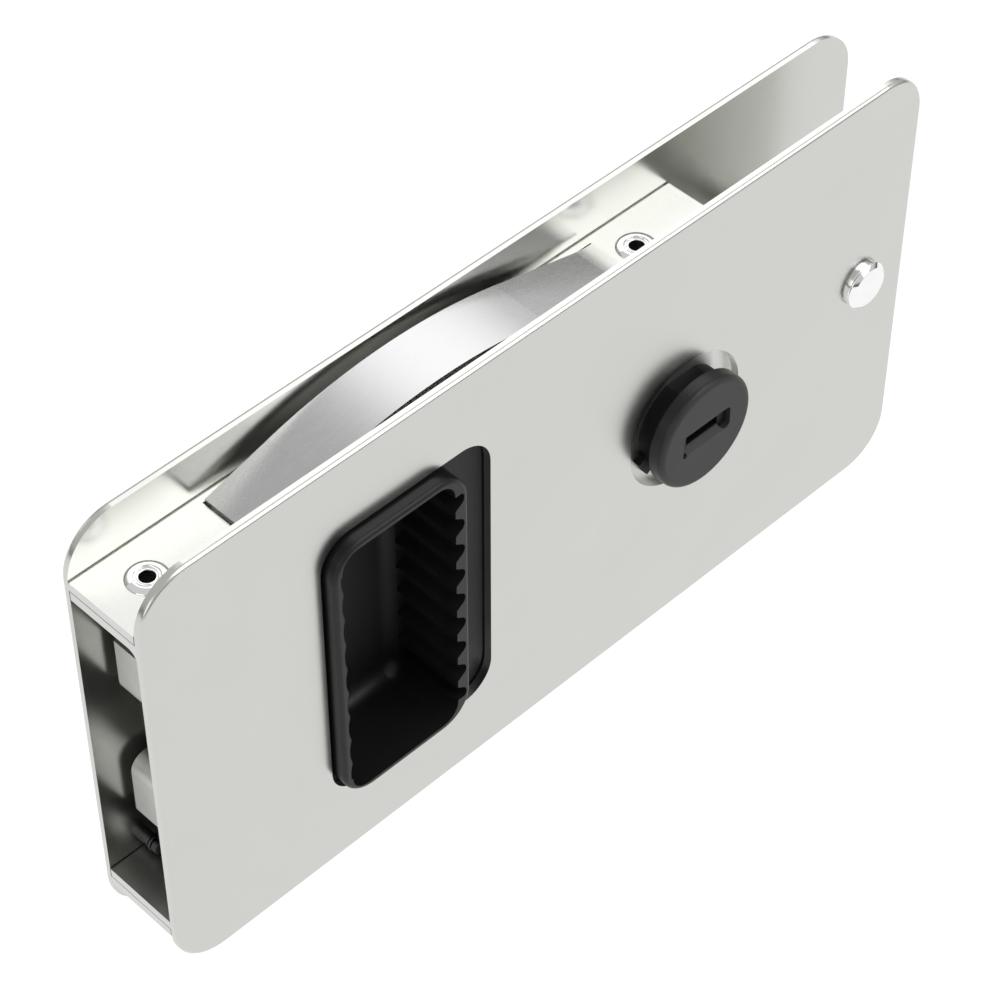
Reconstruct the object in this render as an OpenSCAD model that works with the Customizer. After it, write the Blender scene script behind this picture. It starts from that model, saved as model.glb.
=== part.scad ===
// Flush sliding door latch with a recessed finger cup, a key lock and two jaws
// Millimetres, X along the plates from the mouth, Y through the door, Z up
// The origin is the middle of the mouth edge, halfway through the door panel

/* [Plates] */

// Length of the front and back plates
plate_l = 220; // [214:1:250]

// Height of the front and back plates
plate_h = 116; // [114:1:140]

// Thickness of the front and back plates
plate_t = 2; // [1.6:0.1:2.5]

// Corner radius of the plates
corner_r = 12; // [9:0.5:14]

// Radius of the rounded outer edge of the plates
edge_r = 1; // [0.6:0.1:1.4]

// Thickness of the door panel between the plates
panel_t = 19.05; // [19:0.05:22]

/* [Case] */

// Length of the case from the mouth to its closed end
case_l = 162.7; // [160:0.1:175]

// Outer height of the case between the plates
case_h = 92.8; // [92:0.1:100]

// Thickness of each of the two nested case strips
strip_t = 2.3; // [1.8:0.1:2.4]

// Inner corner radius at the closed end of the case
bend_r = 1; // [0.6:0.1:2]

// Outer corner radius at the closed end of the case
case_r = 0.5; // [0.3:0.1:1.5]

// Distance of the first rivets from the mouth
rivet_x1 = 11.3; // [10:0.1:13]

// Distance of the second rivets from the closed end of the case
rivet_end = 19.8; // [16.5:0.1:21.5]

// Shank diameter of the blind rivets
rivet_d = 4.8; // [4:0.1:4.8]

// Bore of the blind rivets
rivet_bore = 3.3; // [2.6:0.1:3.3]

// Diameter of the domed rivet heads
rivet_head_d = 9; // [8:0.1:9.6]

// Height of the domed rivet heads
rivet_head_t = 1; // [0.9:0.1:1.2]

/* [Bracing tongue] */

// Distance of the tongue's free end from the mouth
tongue_x = 31.6; // [30:0.1:34]

// Distance of the tongue's highest point from the closed end of the case
crown_end = 82.7; // [82.5:0.1:88]

// Height of the tongue's crown above the case
crown_h = 9.95; // [9:0.05:10.2]

// Radius of the tongue's crown
crown_r = 119; // [110:1:124]

// Radius of the blend at the tongue's root
root_r = 20; // [12:1:24]

// Slope of the tongue between crown and root, in degrees
tongue_slope = 14; // [14:0.5:17]

// Slope of the tongue's straight free end, in degrees
free_slope = 15.6; // [15:0.2:17]

// Width of the strip left beside the tongue
tongue_edge = 2; // [1.6:0.1:3]

/* [Finger cup] */

// Distance of the cup's left wall from the mouth
cup_x = 44.2; // [44:0.1:46]

// Length of the cup along the slide
cup_l = 36; // [34:0.5:38]

// Height of the cup
cup_h = 74.8; // [70:0.2:75]

// Corner radius of the cup
cup_r = 8; // [6:0.5:10]

// Height of the cup's rim above the front plate
rim_h = 3.2; // [2:0.1:4]

// Depth of the cup's floor behind the plate's inner face
floor_d = 14.5; // [13:0.1:15]

// Wall thickness of the cup
cup_wall = 1.6; // [1.2:0.1:1.8]

// Wall left behind the valleys of the pulling wall
grip_wall = 1.2; // [1:0.1:1.6]

// Radius between the cup's walls and its floor
floor_r = 4; // [3:0.5:5]

// Distance between neighbouring grip ribs
rib_pitch = 7.4; // [7:0.1:7.6]

// Depth of the grip ribs on the pulling wall
rib_depth = 2.6; // [2.3:0.1:3]

// Depth of the grip ribs on the other wall
rib_depth2 = 0.6; // [0.5:0.1:1]

// Travel of the cup and its slide
travel = 8.4; // [6:0.1:8.4]

// Gap between the cup's rim and the opening in the plate
cup_gap = 0.8; // [0.5:0.1:1]

// Thickness of the cup's flange behind the plate
flange_t = 1.8; // [1.5:0.1:1.8]

// Thickness of the drive plate behind the cup's flange
drive_t = 1.5; // [1.2:0.1:1.5]

/* [Jaws] */

// Distance of the jaw tips from the mouth
jaw_x = 7; // [5:0.5:9]

// Distance of the jaws' inner faces from the middle
jaw_in = 10.2; // [9:0.1:11]

// Distance of the jaws' outer faces from the middle
jaw_out = 25.9; // [24:0.1:26]

// Radius of the nose at each jaw's tip
nose_r = 4; // [3:0.5:5]

// Distance of the jaw pivots from the mouth
pivot_x = 33; // [32:0.1:34]

// Distance of the jaw pivots from the middle
pivot_z = 15; // [14.5:0.1:15.5]

// Diameter of the jaw pivot pins
pivot_d = 8; // [7:0.1:8]

// Distance from each jaw's pivot to its drive pin
arm_r = 22; // [21:0.1:22]

// Diameter of the jaws' drive pins
pin_d = 4; // [3.5:0.1:4.4]

// Wire thickness of the return springs
wire_d = 0.7; // [0.5:0.1:0.8]

/* [Lock] */

// Distance of the lock's axis from the closed end of the case
lock_end = 14.7; // [14:0.1:16]

// Height of the lock's axis above the middle
lock_z = 1; // [0:0.1:2]

// Diameter of the turning lock cap
cap_d = 28.2; // [26:0.1:29]

// Distance of the cap's face from the front plate
cap_h = 6.5; // [6:0.1:7.5]

// Thickness of the lock cap
cap_t = 3.8; // [3.2:0.1:4]

// Diameter of the clearance hole around the lock
lock_hole_d = 34; // [32:0.1:35]

// Diameter of the lock housing's head
housing_d = 24.8; // [24:0.1:25.6]

// Distance across the two flats of the housing's head
housing_flats = 23.2; // [22:0.1:23.4]

// Diameter of the lock's barrel behind its head
lock_barrel_d = 18.4; // [17:0.1:18.6]

// Distance across the two flats of the barrel
barrel_flats = 16; // [15.5:0.1:16.5]

// Width of the keyhole's funnel
key_w = 14.6; // [13:0.1:15]

// Height of the keyhole's funnel
key_h = 5.9; // [5.2:0.1:6.2]

// Diameter of the lock's core
core_d = 12.6; // [12:0.1:13]

/* [Through bolt] */

// Distance of the through bolt from the far end of the plates
bolt_end = 14.3; // [12:0.1:20]

// Height of the through bolt above the middle
bolt_z = 3.7; // [0:0.1:5]

// Diameter of the through bolt's two heads
bolt_head_d = 11.8; // [11:0.1:13]

// Height of the through bolt's heads
bolt_head_h = 2.3; // [2:0.1:3]

// Outer diameter of the barrel that spans the door panel
barrel_d = 8; // [7.5:0.1:9]

/* [Clearances] */

// Radial running clearance of turning fits
run_gap = 0.06; // [0.04:0.01:0.1]

// Gap between parts that pass each other
side_gap = 0.35; // [0.3:0.05:0.5]

// Gap between the two nested case strips
nest_gap = 0.2; // [0.1:0.05:0.3]

/* [Hidden] */

$fn = 64;
eps = 0.01;

yf = -panel_t / 2;
yb = panel_t / 2;
zs = case_h / 2;
grip_t = 2 * strip_t + nest_gap;
in_h = zs - grip_t;
seam = 0.35;
seam_d = 0.6;

rivet_x2 = case_l - rivet_end;
rivet_tail = 3.4;
stem_head = 1.6;
crown_x = case_l - crown_end;
lock_x = case_l - lock_end;
bolt_x = plate_l - bolt_end;

open_x1 = cup_x - cup_gap;
open_x2 = cup_x + cup_l + travel + cup_gap;
open_h = cup_h + 2 * cup_gap;

flange_y = yf + side_gap;
drive_y = flange_y + flange_t;
drive_back = drive_y + drive_t;
flange_x1 = open_x1 - travel - 2;
flange_x2 = open_x2 + 2.6;

hub_r = pivot_d / 2 + 3;
clip_t = 0.7;
clip_y = drive_back + 0.8;
jaw_y1 = clip_y + clip_t + 0.2;
jaw_y2 = yb - 2.05;
arm_t = 4.6;
swing = 2 * asin(travel / (2 * arm_r));
lean = swing / 2;
pin_x = pivot_x - arm_r * sin(lean);
pin_z = pivot_z + arm_r * cos(lean);
pin_end = yb - 1.5;
spring_y = yb - 3.2;
post_x = 9.5;
post_d = 3;
post_z = in_h - 3;
coil_r = 1.9;

rail_x1 = flange_x1 + 2 * travel;
rail_x2 = flange_x2 + 3 + 2 * travel;
rail_w = 3.4;
rail_t = 2.5;

tail_x = lock_x - 30;
tail_z = 7;
tail_h = drive_back + 11;

housing_back = yb - 7.4;
core_back = housing_back + 2.6;
core_sq = 8;
cam_y = housing_back + 0.4;
cam_t = 2;
cam_r = lock_x - tail_x - travel - 0.8;
lock_clip_t = 1.2;
bracket_t = 1.5;
bracket_x1 = lock_x - 25;
bracket_x2 = case_l - grip_t;

bolt_d = 5;
stud_d = 3;
stud_pos = [[39.4, 0], [cup_x + cup_l + 5, 27], [cup_x + cup_l + 5, -27]];

steel = [0.83, 0.83, 0.81];
zinc = [0.72, 0.73, 0.73];
black = [0.12, 0.12, 0.13];
dark = [0.3, 0.3, 0.31];

// Cylinder along Y from y1 to y2
module ycyl(x, y1, y2, z, d) {
    translate([x, y2, z])
        rotate([90, 0, 0])
            cylinder(d = d, h = y2 - y1);
}

// Flat XZ outline raised along Y from y1 to y2
module yslab(y1, y2) {
    translate([0, y2, 0])
        rotate([90, 0, 0])
            linear_extrude(y2 - y1)
                children();
}

// Box given by its low and high corners
module span(a, b) {
    translate(a)
        cube(b - a);
}

// Turned piece about a Y axis, its profile height running towards -Y
module turned(x, y, z) {
    translate([x, y, z])
        rotate([90, 0, 0])
            rotate_extrude()
                children();
}

// Rounded rectangle outline
module rounded(x1, x2, z1, z2, r) {
    translate([x1 + r, z1])
        square([x2 - x1 - 2 * r, z2 - z1]);
    translate([x1, z1 + r])
        square([x2 - x1, z2 - z1 - 2 * r]);
    for (x = [x1 + r, x2 - r]) {
        for (z = [z1 + r, z2 - r]) {
            translate([x, z])
                circle(r);
        }
    }
}

// Profile with both top corners rounded
module crowned(w, t, r) {
    translate([-w / 2, 0])
        square([w, t - r]);
    translate([-w / 2 + r, 0])
        square([w - 2 * r, t]);
    for (s = [-1, 1]) {
        translate([s * (w / 2 - r), t - r])
            circle(r);
    }
}

// Half of that profile, for the corners
module crowned_half(w, t, r) {
    square([w, t - r]);
    square([w - r, t]);
    translate([w - r, t - r])
        intersection() {
            circle(r);
            square(r);
        }
}

// Rounded block whose far face has rounded edges, standing on XY, far face up
module soft_block(l, w, t, r, e) {
    translate([-l / 2 + r, 0, 0])
        rotate([90, 0, 90])
            linear_extrude(l - 2 * r)
                crowned(w, t, e);
    translate([0, w / 2 - r, 0])
        rotate([90, 0, 0])
            linear_extrude(w - 2 * r)
                crowned(l, t, e);
    for (x = [-1, 1]) {
        for (y = [-1, 1]) {
            translate([x * (l / 2 - r), y * (w / 2 - r), 0])
                rotate_extrude()
                    crowned_half(r, t, e);
        }
    }
}

// Soft block with its foot at y, growing towards -Y
module soft_front(x1, x2, h, y, t, r, e) {
    translate([(x1 + x2) / 2, y, 0])
        rotate([90, 0, 0])
            soft_block(x2 - x1, h, t, r, e);
}

// Front plate with the openings for the cup, the lock and the through bolt
module front_plate() {
    color(steel)
    difference() {
        soft_front(0, plate_l, plate_h, yf, plate_t, corner_r, edge_r);
        yslab(yf - plate_t - 1, yf + 1)
            rounded(open_x1, open_x2, -open_h / 2, open_h / 2, cup_r);
        ycyl(lock_x, yf - plate_t - 1, yf + 1, lock_z, lock_hole_d);
        ycyl(bolt_x, yf - plate_t - 1, yf + 1, bolt_z, bolt_d + 0.4);
    }
}

// Back plate, plain but for the barrel's hole and the blind sockets of the pins
module back_plate() {
    color(steel)
    difference() {
        mirror([0, 1, 0])
            soft_front(0, plate_l, plate_h, yf, plate_t, corner_r, edge_r);
        ycyl(bolt_x, yb - 1, yb + plate_t + 1, bolt_z, barrel_d + 0.2);
        for (s = [-1, 1]) {
            ycyl(pivot_x, yb - 1, yb + 1, s * pivot_z, 5);
            ycyl(post_x, yb - 1, yb + 1, s * post_z, 2);
        }
    }
}

// Outline of a case strip, open towards the mouth
module case_outline(x2, h, r) {
    square([x2 - r, h]);
    translate([0, r])
        square([x2, h - 2 * r]);
    for (z = [r, h - r]) {
        translate([x2 - r, z])
            circle(r);
    }
}

module strip_outline(x2, half, r, t) {
    difference() {
        translate([0, -half])
            case_outline(x2, 2 * half, r);
        translate([-1, -half + t])
            case_outline(x2 - t + 1, 2 * (half - t), bend_r);
    }
}

module rivet_holes() {
    for (x = [rivet_x1, rivet_x2]) {
        translate([x, 0, -plate_h])
            cylinder(d = rivet_d, h = 2 * plate_h);
    }
}

// Inner case strip, welded to the front plate, with a weld fillet at the mouth
module front_frame() {
    color(steel)
    difference() {
        union() {
            yslab(yf, yb - 0.2)
                strip_outline(bracket_x2 + strip_t, in_h + strip_t, bend_r + nest_gap, strip_t);
            difference() {
                span([0, yf, in_h - 2.4], [20, yf + 2.4, in_h]);
                translate([-1, yf + 2.4, in_h - 2.4])
                    rotate([0, 90, 0])
                        cylinder(r = 2.4, h = 22);
            }
        }
        rivet_holes();
    }
}

// Arc band between two angles measured from the top, positive towards +X
module arc_band(r_in, r_out, a1, a2) {
    far = r_out * 1.3;
    intersection() {
        difference() {
            circle(r_out, $fn = 180);
            circle(r_in, $fn = 180);
        }
        polygon([[0, 0], [far * sin(a1), far * cos(a1)], [0, far], [far * sin(a2), far * cos(a2)]]);
    }
}

// Side view of the bowed tongue: straight free end, crown, straight slope and root blend
module tongue_side() {
    a = tongue_slope;
    f = free_slope;
    crown_z = zs + crown_h;
    fx = crown_x - crown_r * sin(f);
    fz = crown_z - crown_r * (1 - cos(f));
    sx = crown_x + crown_r * sin(a);
    sz = crown_z - crown_r * (1 - cos(a));
    ez = zs + root_r * (1 - cos(a));
    ex = sx + (sz - ez) / tan(a);
    root_x = ex + root_r * sin(a);
    translate([crown_x, crown_z - crown_r])
        arc_band(crown_r - strip_t, crown_r, -f, a);
    translate([fx, fz])
        rotate(f)
            translate([(tongue_x - fx) / cos(f), 0.03 - strip_t])
                square([(fx - tongue_x) / cos(f) + 1.5, strip_t - 0.06]);
    translate([sx, sz])
        rotate(-a)
            translate([-1.5, 0.03 - strip_t])
                square([(ex - sx) / cos(a) + 3, strip_t - 0.06]);
    translate([root_x, zs + root_r])
        mirror([0, 1])
            arc_band(root_r, root_r + strip_t, -a, 0);
    translate([root_x - 1.5, zs - strip_t + 0.03])
        square([3, strip_t - 0.06]);
}

tongue_root = crown_x + (crown_r + root_r) * sin(tongue_slope)
    + (crown_h - (crown_r + root_r) * (1 - cos(tongue_slope))) / tan(tongue_slope);

// Outer case strip on the back plate: a fine seam beside it, and the tongue lanced from its top
module back_frame() {
    color(steel) {
        difference() {
            union() {
                yslab(yf + 0.2, yb - seam)
                    strip_outline(case_l, zs, case_r, strip_t);
                yslab(yb - seam - eps, yb)
                    strip_outline(case_l - seam_d, zs - seam_d, case_r, strip_t - seam_d);
            }
            rivet_holes();
            span([tongue_x - side_gap, yf + tongue_edge, zs - strip_t - eps],
                [tongue_root, yb - tongue_edge, zs + 1]);
        }
        yslab(yf + tongue_edge + side_gap, yb - tongue_edge - side_gap)
            tongue_side();
    }
}

// Blind rivet: domed head with a sunken middle and a lip, its barrel and the closed bulb
module rivet() {
    lip = rivet_bore / 2 + 0.5;
    dome_r = rivet_head_d * 1.2;
    rotate_extrude()
        difference() {
            union() {
                translate([0, -grip_t - rivet_tail])
                    square([rivet_d / 2, grip_t + rivet_tail + 0.1]);
                difference() {
                    intersection() {
                        translate([0, rivet_head_t - dome_r])
                            circle(dome_r, $fn = 128);
                        square([rivet_head_d / 2, rivet_head_t]);
                    }
                    translate([0, 0.15])
                        square([lip + 0.45, rivet_head_t]);
                }
                square([lip, rivet_head_t / 2]);
                translate([0, -grip_t - rivet_tail])
                    square([rivet_d / 2 + 0.8, rivet_tail]);
            }
            translate([0, -grip_t - rivet_tail - stem_head])
                square([rivet_bore / 2, grip_t + rivet_tail + stem_head + rivet_head_t + 1]);
        }
}

module at_rivets() {
    for (x = [rivet_x1, rivet_x2]) {
        for (s = [0, 1]) {
            mirror([0, 0, s])
                translate([x, 0, zs])
                    children();
        }
    }
}

module blind_rivets() {
    color(zinc)
        at_rivets()
            rivet();
}

// Broken mandrels left inside the rivets, with their heads at the inner ends
module rivet_mandrels() {
    color(dark)
        at_rivets()
            rotate_extrude() {
                translate([0, -grip_t - rivet_tail])
                    square([rivet_bore / 2, rivet_tail + stem_head]);
                translate([0, -grip_t - rivet_tail - stem_head])
                    square([rivet_bore / 2 + 0.7, stem_head]);
            }
}

// Two welded rails that keep the slide close behind the front plate
module guide_rails() {
    color(zinc)
    for (s = [0, 1]) {
        mirror([0, 0, s])
            span([rail_x1, drive_back + 0.3, in_h - rail_w], [rail_x2, drive_back + 0.3 + rail_t, in_h]);
    }
}

// Outline of the shallow scallops on the cup's left wall
module scallops(x, x1, x2) {
    half = cup_h / 2 - cup_r + cup_wall;
    intersection() {
        for (k = [-4 : 4]) {
            translate([x, k * rib_pitch])
                circle(x - x1, $fn = 96);
        }
        translate([x1, -half])
            square([x2 - x1, 2 * half]);
    }
}

// Outline of the round-ended valleys between the pointed ribs of the pulling wall
module grip_valleys(right) {
    half = cup_h / 2 - cup_r + cup_wall;
    r = rib_pitch * 0.26;
    px = rib_depth - r;
    pz = rib_pitch / 2 - 0.9;
    t = atan2(pz, -px) - acos(r / sqrt(px * px + pz * pz));
    tx = 0.97 * r * cos(t);
    tz = 0.97 * r * sin(t);
    intersection() {
        for (k = [-4 : 4]) {
            translate([right - r, k * rib_pitch]) {
                circle(r);
                polygon([[tx, tz], [-px, pz], [-px - 0.4, pz], [-px - 0.4, -pz], [-px, -pz], [tx, -tz]]);
            }
        }
        translate([right - rib_depth - 0.4, -half])
            square([rib_depth + 1, 2 * half]);
    }
}

// Finger cup: rim, ribbed walls, floor and the flange that covers the opening
module finger_cup() {
    right = cup_x + cup_l - grip_wall;
    left = cup_x + cup_wall;
    r2 = (rib_pitch * rib_pitch / 4 + rib_depth2 * rib_depth2) / (2 * rib_depth2);
    inner_r = max(cup_r - cup_wall - 2, floor_r + 0.1);
    front = yf - plate_t - rim_h;
    back = yf + floor_d + 1.6;
    color(black)
    difference() {
        union() {
            soft_front(cup_x, cup_x + cup_l, cup_h, back, back - front, cup_r, 1);
            yslab(flange_y, flange_y + flange_t)
                rounded(flange_x1, flange_x2, -in_h + 0.9, in_h - 0.9, 4);
            for (p = stud_pos) {
                ycyl(p[0], flange_y + eps, drive_back + 2.2, p[1], stud_d);
            }
        }
        mirror([0, 1, 0])
            soft_front(left + rib_depth2 - 0.1, right - rib_depth + 0.15, cup_h - 2 * cup_wall,
                -front + 1, floor_d + plate_t + rim_h + 1, inner_r, floor_r);
        yslab(front - 1, yf + floor_d - 1.5)
            grip_valleys(right);
        yslab(front - 1, yf + floor_d - 1.5)
            scallops(left + r2, left, left + rib_depth2 + 0.4);
    }
}

// Steel drive plate behind the cup's flange: frame, slotted arms, tail and stop lug
module drive_plate() {
    half = in_h - 0.4;
    color(zinc) {
        difference() {
            yslab(drive_y, drive_back)
                difference() {
                    union() {
                        translate([flange_x1 + 1, -half])
                            square([flange_x2 + 3 - flange_x1 - 1, 2 * half]);
                        for (s = [0, 1]) {
                            mirror([0, s])
                                translate([pin_x - 5, half - 11])
                                    square([14, 11]);
                        }
                        translate([flange_x2, lock_z - tail_z])
                            square([tail_x - flange_x2, 2 * tail_z]);
                    }
                    rounded(cup_x, cup_x + cup_l, -cup_h / 2, cup_h / 2, cup_r);
                }
            for (p = stud_pos) {
                ycyl(p[0], drive_y - 1, drive_back + 1, p[1], stud_d);
            }
            for (s = [-1, 1]) {
                ycyl(pin_x, drive_y - 1, drive_back + 1, s * (pin_z + 0.4), pin_d + 0.3);
                ycyl(pin_x, drive_y - 1, drive_back + 1, s * (pin_z - 0.1), pin_d + 0.3);
                span([pin_x - pin_d / 2 - 0.15, drive_y - 1, s * (pin_z + 0.15) - 0.25],
                    [pin_x + pin_d / 2 + 0.15, drive_back + 1, s * (pin_z + 0.15) + 0.25]);
            }
        }
        span([tail_x - drive_t, drive_y, lock_z - tail_z], [tail_x, tail_h, lock_z + tail_z]);
    }
}

// Push-on nuts that hold the drive plate on the cup's studs
module push_nuts() {
    color(zinc)
    for (p = stud_pos) {
        difference() {
            union() {
                ycyl(p[0], drive_back, drive_back + 0.6, p[1], 7.4);
                ycyl(p[0], drive_back + 0.5, drive_back + 1.3, p[1], 4.6);
            }
            ycyl(p[0], drive_back - 1, drive_back + 2, p[1], stud_d);
        }
    }
}

// Upper jaw: nosed tip, catch face, finger, hub and the arm to its drive pin
module jaw() {
    catch_x = jaw_x + 7;
    color(zinc)
    difference() {
        union() {
            yslab(jaw_y1, jaw_y2) {
                translate([jaw_x, jaw_in + nose_r])
                    square([catch_x - jaw_x, jaw_out - jaw_in - nose_r]);
                translate([jaw_x + nose_r, jaw_in])
                    square([catch_x - jaw_x - nose_r, nose_r + eps]);
                translate([jaw_x + nose_r, jaw_in + nose_r])
                    circle(nose_r);
                polygon([
                    [catch_x - 1, jaw_in + 5.4],
                    [pivot_x, pivot_z - hub_r + 3],
                    [pivot_x, pivot_z + hub_r],
                    [catch_x + 6, jaw_out],
                    [catch_x - 1, jaw_out]
                ]);
                translate([pivot_x, pivot_z])
                    circle(hub_r);
            }
            yslab(jaw_y1, jaw_y1 + arm_t)
                translate([pivot_x, pivot_z])
                    rotate(lean) {
                        translate([-3.4, 0])
                            square([6.8, arm_r]);
                        translate([0, arm_r])
                            circle(pin_d / 2 + 2);
                    }
        }
        ycyl(pivot_x, jaw_y1 - 1, jaw_y2 + 1, pivot_z, pivot_d + 2 * run_gap);
        ycyl(pin_x, jaw_y1 - 1, jaw_y2 + 1, pin_z, pin_d);
    }
}

module upper_jaw() {
    jaw();
}

module lower_jaw() {
    mirror([0, 0, 1])
        jaw();
}

// Drive pin pressed in a jaw's arm, through the drive plate's slot and out to its spring
module drive_pin() {
    color(steel) {
        ycyl(pin_x, drive_y + 0.1, spring_y - 0.6, pin_z, pin_d);
        ycyl(pin_x, spring_y - 0.7, spring_y + 0.6, pin_z, pin_d - 1.2);
        ycyl(pin_x, spring_y + 0.6, pin_end, pin_z, pin_d);
    }
}

module upper_drive_pin() {
    drive_pin();
}

module lower_drive_pin() {
    mirror([0, 0, 1])
        drive_pin();
}

// Pivot pins of the jaws, each with a shoulder on the back plate and a clip groove
module jaw_pivots() {
    color(steel)
    for (s = [-1, 1]) {
        difference() {
            union() {
                ycyl(pivot_x, clip_y - 0.4, yb, s * pivot_z, pivot_d);
                ycyl(pivot_x, jaw_y2 + 0.3, yb, s * pivot_z, pivot_d + 5);
                ycyl(pivot_x, yb - eps, yb + 1, s * pivot_z, 5);
            }
            difference() {
                ycyl(pivot_x, clip_y, clip_y + clip_t, s * pivot_z, pivot_d + 2);
                ycyl(pivot_x, clip_y - 1, clip_y + clip_t + 1, s * pivot_z, pivot_d - 2);
            }
        }
    }
}

// Open retaining rings in the pivot pins' grooves
module pivot_clips() {
    color(dark)
    for (s = [-1, 1]) {
        difference() {
            ycyl(pivot_x, clip_y, clip_y + clip_t, s * pivot_z, pivot_d + 3.6);
            ycyl(pivot_x, clip_y - 1, clip_y + 2, s * pivot_z, pivot_d - 2);
            span([pivot_x - 2.2, clip_y - 1, s > 0 ? pivot_z - 9 : -pivot_z],
                [pivot_x + 2.2, clip_y + 2, s > 0 ? pivot_z : -pivot_z + 9]);
        }
    }
}

// Posts on the back plate that anchor the return springs
module spring_posts() {
    color(steel)
    for (s = [-1, 1]) {
        ycyl(post_x, spring_y - 2, spring_y - 0.6, s * post_z, post_d);
        ycyl(post_x, spring_y - 0.7, spring_y + 0.7, s * post_z, post_d - 1);
        ycyl(post_x, spring_y + 0.6, yb, s * post_z, post_d);
        ycyl(post_x, yb - eps, yb + 1, s * post_z, 2);
    }
}

// Extension spring between post and drive pin: close coils and two end loops
module spring() {
    dx = pin_x - post_x;
    dz = pin_z - post_z;
    len = sqrt(dx * dx + dz * dz);
    ang = -atan2(dz, dx);
    body = len - 6.4;
    coils = floor(body / (wire_d + 0.04));
    step = body / coils;
    color(dark)
    translate([post_x, spring_y, post_z])
        rotate([0, ang, 0]) {
            for (e = [[0, post_d - 1], [len, pin_d - 1.2]]) {
                translate([e[0], 0, 0])
                    rotate([90, 0, 0])
                        rotate_extrude($fn = 32)
                            translate([e[1] / 2 + wire_d / 2 + 0.05, 0])
                                circle(wire_d / 2, $fn = 16);
            }
            translate([3.2, 0, 0])
                rotate([0, 90, 0])
                    difference() {
                        cylinder(r = coil_r, h = body);
                        translate([0, 0, -1])
                            cylinder(r = coil_r - wire_d, h = body + 2);
                    }
            for (k = [0 : coils - 1]) {
                translate([3.2 + (k + 0.5) * step, 0, 0])
                    rotate([0, 90, 0])
                        rotate_extrude($fn = 32)
                            translate([coil_r - wire_d / 2 + 0.12, 0])
                                circle(wire_d / 2, $fn = 16);
            }
            hook_r = (post_d - 1) / 2 + 0.05;
            translate([hook_r + wire_d * 0.4, 0, 0])
                rotate([0, 90, 0])
                    cylinder(d = wire_d, h = 3.4 - hook_r, $fn = 16);
            hook_p = (pin_d - 1.2) / 2 + 0.05;
            translate([3 + body, 0, 0])
                rotate([0, 90, 0])
                    cylinder(d = wire_d, h = 3.4 - hook_p - wire_d * 0.4, $fn = 16);
            span([3.2, -coil_r + 0.3, -wire_d / 2], [3.2 + wire_d, coil_r - 0.3, wire_d / 2]);
            span([3.2 + body - wire_d, -coil_r + 0.3, -wire_d / 2],
                [3.2 + body, coil_r - 0.3, wire_d / 2]);
        }
}

module upper_spring() {
    spring();
}

module lower_spring() {
    mirror([0, 0, 1])
        spring();
}

// Round outline with a flat at the top and one at the bottom
module flatted(d, flats) {
    intersection() {
        circle(d = d);
        square([2 * d, flats], center = true);
    }
}

// Sheet bracket behind the front plate that carries the lock
module lock_bracket() {
    color(steel)
        yslab(yf, yf + bracket_t)
            difference() {
                rounded(bracket_x1, bracket_x2, -in_h, in_h, bend_r + 0.4);
                translate([lock_x, lock_z])
                    flatted(lock_barrel_d + 0.1, barrel_flats + 0.1);
            }
}

// Lock housing: flatted head with two seating ears, and the grooved barrel behind it
module lock_housing() {
    front = yf - plate_t - cap_h + cap_t + side_gap;
    groove_y = yf + bracket_t;
    color(dark)
    difference() {
        union() {
            yslab(front, yf)
                translate([lock_x, lock_z])
                    flatted(housing_d, housing_flats);
            yslab(yf - eps, housing_back)
                translate([lock_x, lock_z])
                    flatted(lock_barrel_d, barrel_flats);
            for (a = [210, 330]) {
                yslab(yf - 1.8, yf)
                    translate([lock_x, lock_z])
                        rotate(a)
                            translate([9, -2.6])
                                square([5.4, 5.2]);
            }
        }
        ycyl(lock_x, front - 1, housing_back + 1, lock_z, core_d + 2 * run_gap);
        for (s = [-1, 1]) {
            translate([lock_x, groove_y + lock_clip_t / 2, lock_z + s * (barrel_flats / 2 + 1)])
                cube([30, lock_clip_t, 3], center = true);
        }
    }
}

// Fork-shaped clip in the barrel's two grooves, behind the bracket
module lock_clip() {
    y1 = yf + bracket_t;
    slot = barrel_flats - 1;
    color(zinc)
    difference() {
        yslab(y1, y1 + lock_clip_t)
            translate([lock_x, lock_z])
                difference() {
                    translate([-14, -slot / 2 - 4])
                        square([22, slot + 8]);
                    translate([-lock_barrel_d / 2, -slot / 2])
                        square([30, slot]);
                }
    }
}

// Keyway through cap and core: a slot with a sloping lead-in, an end pocket and a warding notch
module keyway() {
    face = yf - plate_t - cap_h;
    w1 = key_w / 2;
    w2 = key_w * 0.33;
    z0 = lock_z - key_h * 0.41;
    z1 = z0 + key_h;
    slot_z = z0 + key_h * 0.2;
    depth = 1.6;
    intersection() {
        yslab(face - 1, face + depth)
            translate([lock_x - w1, z0])
                square([2 * w1 - 1.8, key_h]);
        translate([lock_x, 0, z0 - 1])
            linear_extrude(key_h + 2)
                polygon([[-w1, face - 1], [w1, face - 1], [w1, face + depth + 1],
                    [-w2, face + depth + 1], [-w2, face + depth], [-w1, face]]);
        translate([lock_x - key_w, 0, 0])
            rotate([90, 0, 90])
                linear_extrude(2 * key_w)
                    polygon([[face - 1, z0], [face - 1, z1 + 1], [face + depth + 1, z1 + 1],
                        [face + depth + 1, slot_z], [face + depth, slot_z], [face, z0]]);
    }
    yslab(face - 1, face + depth)
        rounded(lock_x + w1 - 2.6, lock_x + w1, z0 + 0.05, z1 - 0.05, 1.1);
    ycyl(lock_x - w1 + 0.6, face - 1, face + 0.9, z0 + 0.15, 1.3);
    span([lock_x - w2, face + depth - 0.1, slot_z], [lock_x + w2, face + 11, z1 - 0.1]);
}

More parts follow.
